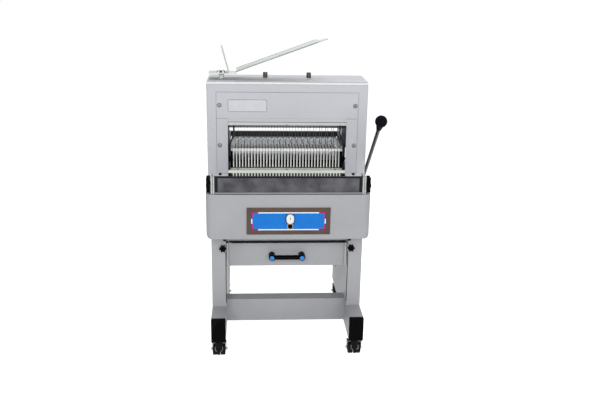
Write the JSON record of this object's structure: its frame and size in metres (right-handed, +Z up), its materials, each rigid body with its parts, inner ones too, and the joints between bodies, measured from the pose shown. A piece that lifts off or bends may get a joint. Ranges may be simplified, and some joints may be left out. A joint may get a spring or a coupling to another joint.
{
  "type": "bread slicer machine",
  "caption": "Floor-standing bread slicer: blade portal over a drive cabinet on a caster stand, with hand-lever pusher comb, catch tray, crumb drawer and bagging scoop.",
  "frame": {"origin": "on the floor under the middle of the blade portal", "axes": "+X to the operator's right, +Y to the rear, +Z up"},
  "size_m": [0.6596, 0.6753, 1.2108],
  "materials": {
    "silver_paint": "satin silver powder coat",
    "white_paint": "satin white powder coat",
    "sill_plastic": "smooth machined plastic",
    "stainless": "brushed",
    "zinc_steel": "bright zinc plated",
    "dark_paint": "dark satin paint",
    "black_plastic": "fine moulded texture",
    "caster_steel": "black painted pressed steel",
    "caster_rubber": "matt",
    "belt_rubber": "matt",
    "bronze": "machined",
    "bezel_plastic": "fine texture",
    "white_plastic": "gloss"
  },
  "bodies": {
    "machine": {"left_floor_beam": "silver_paint", "right_floor_beam": "silver_paint", "beam_end_caps": "black_plastic", "left_leg": "silver_paint", "right_leg": "silver_paint", "stretcher": "silver_paint", "drawer_runners": "zinc_steel", "cabinet_shell": "silver_paint", "control_bezel": "bezel_plastic", "portal_shell": "silver_paint", "front_cover": "silver_paint", "rear_cover": "silver_paint", "panel_screws": "zinc_steel", "side_ledges": "white_paint", "upper_guide_bar": "white_paint", "sill_bar": "sill_plastic", "slotted_deck": "stainless", "catch_tray": "stainless", "tray_brackets": "stainless", "infeed_table": "stainless", "guide_rods": "zinc_steel", "blade_guides": "sill_plastic", "crank_bearings": "zinc_steel", "motor_body": "dark_paint", "drive_belt": "belt_rubber", "roof_studs": "zinc_steel", "lever_bushes": "bronze"},
    "caster_fl": {"caster_fork_fl": "caster_steel"},
    "wheels_fl": {"caster_wheels_fl": "caster_rubber"},
    "caster_fr": {"caster_fork_fr": "caster_steel"},
    "wheels_fr": {"caster_wheels_fr": "caster_rubber"},
    "caster_rl": {"caster_fork_rl": "caster_steel"},
    "wheels_rl": {"caster_wheels_rl": "caster_rubber"},
    "caster_rr": {"caster_fork_rr": "caster_steel"},
    "wheels_rr": {"caster_wheels_rr": "caster_rubber"},
    "lever": {"lever_shaft": "dark_paint", "lever_rod": "zinc_steel", "lever_ball": "black_plastic"},
    "pusher": {"pusher_comb": "stainless", "pusher_carriage": "dark_paint"},
    "front_frame": {"front_blade_frame": "dark_paint", "front_blades": "stainless"},
    "rear_frame": {"rear_blade_frame": "dark_paint", "rear_blades": "stainless"},
    "front_rod": {"front_conrod": "zinc_steel"},
    "rear_rod": {"rear_conrod": "zinc_steel"},
    "crank": {"crankshaft": "zinc_steel", "crank_pulley": "zinc_steel"},
    "rotor": {"motor_rotor": "zinc_steel"},
    "drawer": {"crumb_drawer": "silver_paint", "drawer_handle": "black_plastic"},
    "leg_knob_l": {"left_leg_knob": "black_plastic"},
    "leg_knob_r": {"right_leg_knob": "black_plastic"},
    "tray_knob_l": {"left_tray_knob": "black_plastic"},
    "tray_knob_r": {"right_tray_knob": "black_plastic"},
    "button": {"switch_button": "white_plastic"},
    "key": {"key_barrel": "black_plastic"},
    "scoop": {"scoop_base": "stainless", "scoop_trough": "stainless"}
  },
  "joints": [
    {"name": "caster_swivel_fl", "type": "hinge", "parent": "machine", "child": "caster_fl", "pos_m": [-0.267, -0.282, 0.076], "axis": [0, 0, 1], "continuous": true},
    {"name": "wheel_spin_fl", "type": "hinge", "parent": "caster_fl", "child": "wheels_fl", "pos_m": [-0.267, -0.267, 0.025], "axis": [1, 0, 0], "continuous": true},
    {"name": "caster_swivel_fr", "type": "hinge", "parent": "machine", "child": "caster_fr", "pos_m": [0.267, -0.282, 0.076], "axis": [0, 0, 1], "continuous": true},
    {"name": "wheel_spin_fr", "type": "hinge", "parent": "caster_fr", "child": "wheels_fr", "pos_m": [0.267, -0.267, 0.025], "axis": [1, 0, 0], "continuous": true},
    {"name": "caster_swivel_rl", "type": "hinge", "parent": "machine", "child": "caster_rl", "pos_m": [-0.267, 0.282, 0.076], "axis": [0, 0, 1], "continuous": true},
    {"name": "wheel_spin_rl", "type": "hinge", "parent": "caster_rl", "child": "wheels_rl", "pos_m": [-0.267, 0.297, 0.025], "axis": [1, 0, 0], "continuous": true},
    {"name": "caster_swivel_rr", "type": "hinge", "parent": "machine", "child": "caster_rr", "pos_m": [0.267, 0.282, 0.076], "axis": [0, 0, 1], "continuous": true},
    {"name": "wheel_spin_rr", "type": "hinge", "parent": "caster_rr", "child": "wheels_rr", "pos_m": [0.267, 0.297, 0.025], "axis": [1, 0, 0], "continuous": true},
    {"name": "lever_swing", "type": "hinge", "parent": "machine", "child": "lever", "pos_m": [0, 0.06, 0.627], "axis": [1, 0, 0], "range_deg": [-92, 0]},
    {"name": "pusher_slide", "type": "slide", "parent": "machine", "child": "pusher", "axis": [0, 1, 0], "range_m": [0, 0.16]},
    {"name": "front_frame_slide", "type": "slide", "parent": "machine", "child": "front_frame", "axis": [0, 0, 1], "range_m": [-0.02, 0.02]},
    {"name": "rear_frame_slide", "type": "slide", "parent": "machine", "child": "rear_frame", "axis": [0, 0, 1], "range_m": [-0.02, 0.02]},
    {"name": "front_rod_swing", "type": "hinge", "parent": "front_frame", "child": "front_rod", "pos_m": [-0.0753, -0.016, 0.587], "axis": [1, 0, 0], "range_deg": [-20, 20]},
    {"name": "rear_rod_swing", "type": "hinge", "parent": "rear_frame", "child": "rear_rod", "pos_m": [0.0753, 0.016, 0.587], "axis": [1, 0, 0], "range_deg": [-20, 20]},
    {"name": "crank_spin", "type": "hinge", "parent": "machine", "child": "crank", "pos_m": [0, 0, 0.536], "axis": [1, 0, 0], "continuous": true},
    {"name": "motor_spin", "type": "hinge", "parent": "machine", "child": "rotor", "pos_m": [0, -0.15, 0.551], "axis": [1, 0, 0], "continuous": true},
    {"name": "drawer_slide", "type": "slide", "parent": "machine", "child": "drawer", "axis": [0, -1, 0], "range_m": [0, 0.25]},
    {"name": "leg_knob_turn_l", "type": "hinge", "parent": "machine", "child": "leg_knob_l", "pos_m": [-0.25, -0.195, 0.42], "axis": [0, 1, 0], "continuous": true},
    {"name": "leg_knob_turn_r", "type": "hinge", "parent": "machine", "child": "leg_knob_r", "pos_m": [0.25, -0.195, 0.42], "axis": [0, 1, 0], "continuous": true},
    {"name": "tray_knob_turn_l", "type": "hinge", "parent": "machine", "child": "tray_knob_l", "pos_m": [-0.29, -0.244, 0.692], "axis": [1, 0, 0], "continuous": true},
    {"name": "tray_knob_turn_r", "type": "hinge", "parent": "machine", "child": "tray_knob_r", "pos_m": [0.29, -0.244, 0.692], "axis": [1, 0, 0], "continuous": true},
    {"name": "button_press", "type": "slide", "parent": "machine", "child": "button", "axis": [0, 1, 0], "range_m": [0, 0.003], "stiffness_N_per_m": 600},
    {"name": "key_turn", "type": "hinge", "parent": "machine", "child": "key", "pos_m": [0.006, -0.27, 0.5345], "axis": [0, 1, 0], "range_deg": [0, 90]},
    {"name": "scoop_swivel", "type": "hinge", "parent": "machine", "child": "scoop", "pos_m": [-0.254, -0.041, 1.066], "axis": [0, 0, 1], "range_deg": [-90, 90]}
  ],
  "couplings": [
    {"joint": "pusher_slide", "follows": "lever_swing", "m_per_rad": -0.0996},
    {"joint": "rear_frame_slide", "follows": "front_frame_slide", "ratio": -1},
    {"joint": "motor_spin", "follows": "crank_spin", "ratio": 2}
  ]
}
